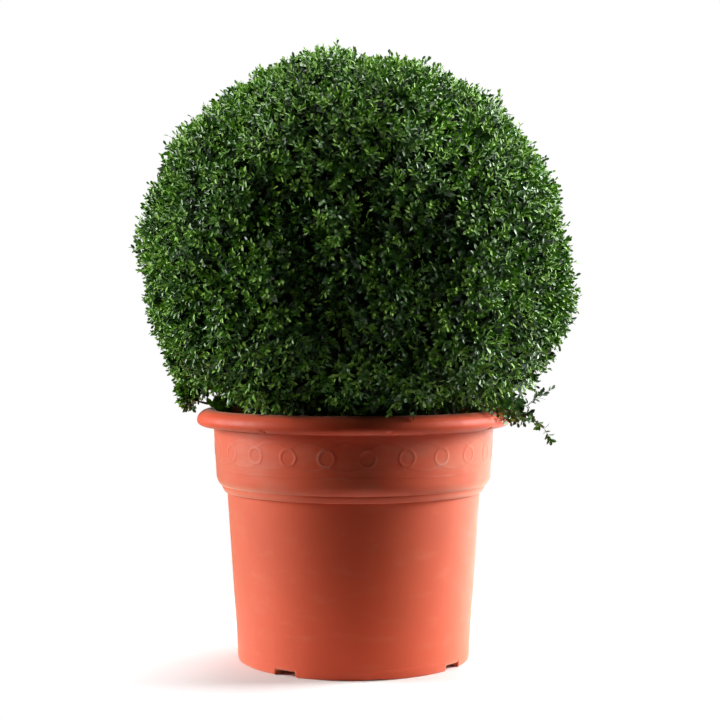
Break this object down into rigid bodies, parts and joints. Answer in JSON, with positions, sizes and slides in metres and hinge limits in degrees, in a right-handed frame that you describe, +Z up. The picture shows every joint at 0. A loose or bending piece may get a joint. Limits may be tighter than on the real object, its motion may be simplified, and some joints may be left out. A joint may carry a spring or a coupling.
{
  "type": "potted clipped ball shrub",
  "caption": "Small-leaved evergreen shrub clipped into a dense ball, standing in a round tapered terracotta-coloured plastic pot with a rolled rim and a collar band.",
  "frame": {"origin": "on the ground, under the middle of the pot", "axes": "+Z up along the pot's axis, -Y towards the side the picture shows, +X to its right"},
  "size_m": [0.6108, 0.613, 0.8871],
  "materials": {
    "pot_plastic": "satin moulded plastic, terracotta colour",
    "soil": "moist crumbly potting soil",
    "bark": "grey-brown bark",
    "leaves": "glossy dark green leaves"
  },
  "bodies": {
    "root": {"pot": "pot_plastic", "soil": "soil", "trunk": "bark", "low_bough_right": "bark", "low_bough_left": "bark", "low_bough_back": "bark", "low_spray_right": "leaves", "low_spray_left": "leaves", "low_spray_back": "leaves", "crown_ball": "leaves"}
  },
  "joints": []
}
